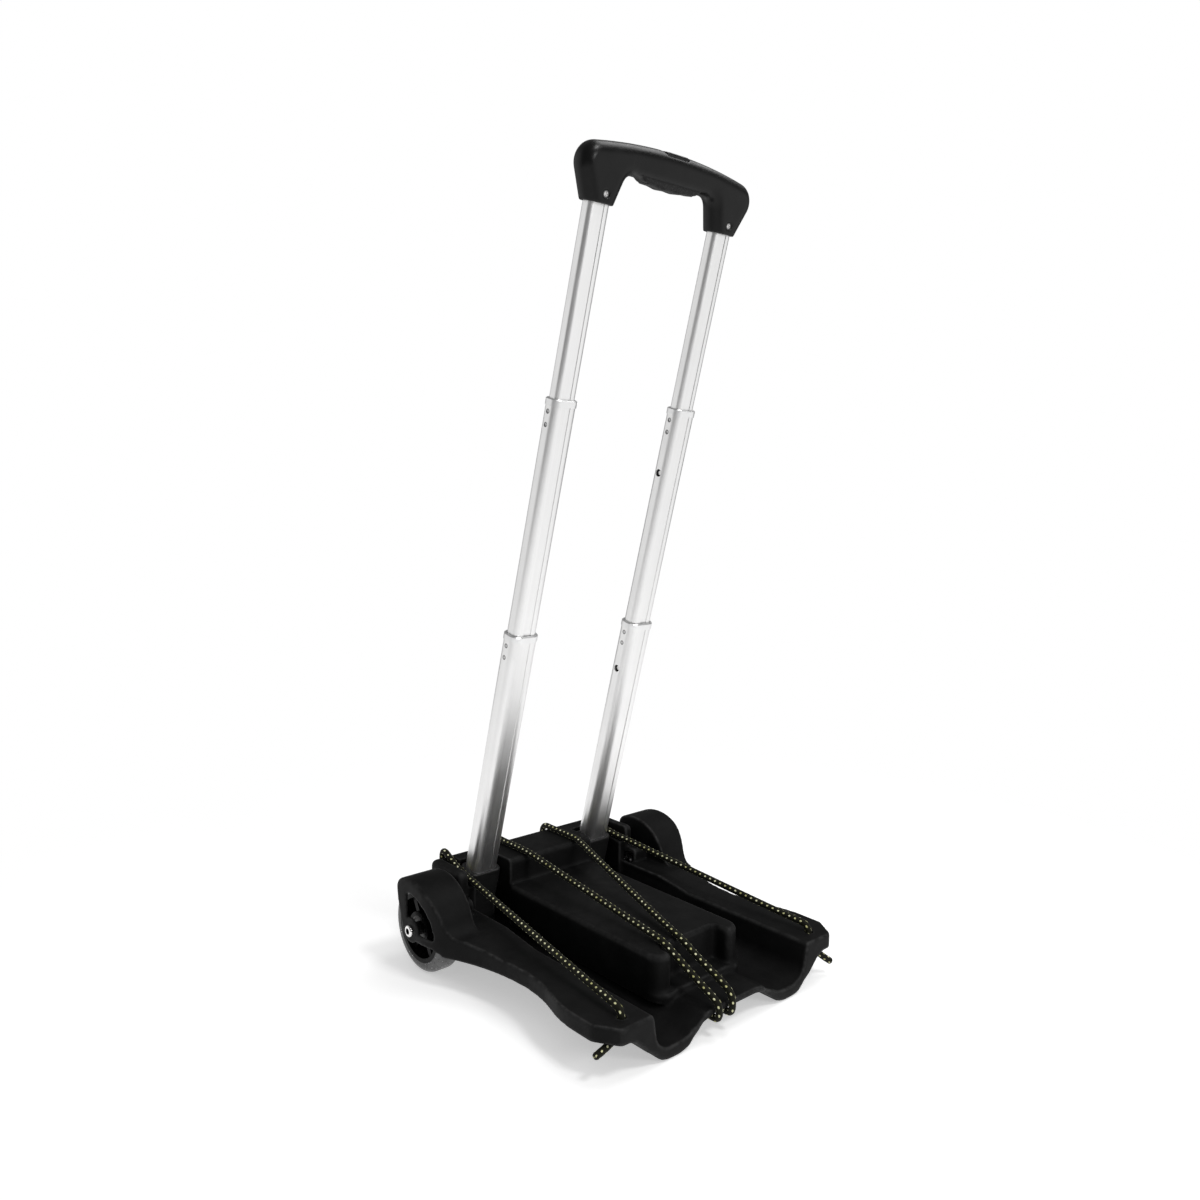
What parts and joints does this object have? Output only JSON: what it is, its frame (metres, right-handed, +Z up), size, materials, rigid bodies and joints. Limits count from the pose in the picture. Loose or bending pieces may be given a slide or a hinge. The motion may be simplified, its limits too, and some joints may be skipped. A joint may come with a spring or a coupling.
{
  "type": "folding hand truck",
  "caption": "folding luggage cart with telescopic aluminium handle, black moulded base on wheels and an elastic tie-down cord",
  "frame": {"origin": "on the floor, under the middle of the box round the cart without its cord", "axes": "X to the right, -Y to the front (toe) edge of the base, Z up"},
  "size_m": [0.3148, 0.3013, 0.6999],
  "materials": {
    "black_plastic": "fine grained moulded black",
    "plug_plastic": "smooth black guide plastic",
    "button_plastic": "smooth black",
    "grip_rubber": "soft matte black",
    "hub_plastic": "satin black",
    "tyre_grey": "smooth mid grey solid tyre",
    "tube_metal": "natural anodised",
    "collar_grey": "light grey moulded",
    "bright_steel": "bright plated",
    "plain_steel": "zinc plated",
    "cord_fabric": "black braid with pale flecks"
  },
  "bodies": {
    "base": {"base_shell": "black_plastic", "axle_bolts": "bright_steel", "axle_nuts": "bright_steel", "wheel_spacers": "plain_steel", "hinge_pins": "bright_steel", "hinge_washers": "plain_steel", "cord_stops": "plain_steel", "bungee_cord": "cord_fabric"},
    "lower_frame": {"hinge_block_left": "black_plastic", "hinge_block_right": "black_plastic", "lower_tube_left": "tube_metal", "lower_tube_right": "tube_metal", "lower_collar_left": "collar_grey", "lower_collar_right": "collar_grey", "tube_rivets": "bright_steel"},
    "middle_frame": {"middle_tube_left": "tube_metal", "middle_tube_right": "tube_metal", "middle_collar_left": "collar_grey", "middle_collar_right": "collar_grey", "middle_plug_left": "plug_plastic", "middle_plug_right": "plug_plastic"},
    "upper_frame": {"upper_tube_left": "tube_metal", "upper_tube_right": "tube_metal", "upper_plug_left": "plug_plastic", "upper_plug_right": "plug_plastic", "handle_body": "black_plastic", "grip_insert": "grip_rubber", "handle_screws": "bright_steel"},
    "release": {"release_button": "button_plastic", "release_bridge": "plug_plastic", "push_rods": "plain_steel"},
    "wheel_left": {"tyre_left": "tyre_grey", "hub_left": "hub_plastic", "bearings_left": "plain_steel", "bearing_spacer_left": "plain_steel"},
    "upper_pin_left": {"upper_pin_left": "bright_steel"},
    "lower_pin_left": {"lower_pin_left": "bright_steel"},
    "wheel_right": {"tyre_right": "tyre_grey", "hub_right": "hub_plastic", "bearings_right": "plain_steel", "bearing_spacer_right": "plain_steel"},
    "upper_pin_right": {"upper_pin_right": "bright_steel"},
    "lower_pin_right": {"lower_pin_right": "bright_steel"}
  },
  "joints": [
    {"name": "wheel_left_spin", "type": "hinge", "parent": "base", "child": "wheel_left", "pos_m": [-0.135, 0.0985, 0.04], "axis": [1, 0, 0], "continuous": true},
    {"name": "wheel_right_spin", "type": "hinge", "parent": "base", "child": "wheel_right", "pos_m": [0.135, 0.0985, 0.04], "axis": [1, 0, 0], "continuous": true},
    {"name": "handle_fold", "type": "hinge", "parent": "base", "child": "lower_frame", "pos_m": [0, 0.1243, 0.026], "axis": [1, 0, 0], "range_deg": [0, 75]},
    {"name": "middle_slide", "type": "slide", "parent": "lower_frame", "child": "middle_frame", "axis": [0, -0.2588, 0.9659], "range_m": [-0.19, 0]},
    {"name": "upper_slide", "type": "slide", "parent": "middle_frame", "child": "upper_frame", "axis": [0, -0.2588, 0.9659], "range_m": [-0.146, 0]},
    {"name": "button_press", "type": "slide", "parent": "upper_frame", "child": "release", "axis": [0, 0.2588, -0.9659], "range_m": [0, 0.004], "stiffness_N_per_m": 1500, "springref_m": -0.002},
    {"name": "upper_pin_left_draw", "type": "slide", "parent": "upper_frame", "child": "upper_pin_left", "axis": [-1, 0, 0], "range_m": [0, 0.003]},
    {"name": "lower_pin_left_draw", "type": "slide", "parent": "middle_frame", "child": "lower_pin_left", "axis": [-1, 0, 0], "range_m": [0, 0.003], "stiffness_N_per_m": 300, "springref_m": -0.001},
    {"name": "upper_pin_right_draw", "type": "slide", "parent": "upper_frame", "child": "upper_pin_right", "axis": [1, 0, 0], "range_m": [0, 0.003]},
    {"name": "lower_pin_right_draw", "type": "slide", "parent": "middle_frame", "child": "lower_pin_right", "axis": [1, 0, 0], "range_m": [0, 0.003], "stiffness_N_per_m": 300, "springref_m": -0.001}
  ],
  "couplings": [
    {"joint": "upper_pin_left_draw", "follows": "button_press", "ratio": 0.75},
    {"joint": "upper_pin_right_draw", "follows": "button_press", "ratio": 0.75}
  ]
}
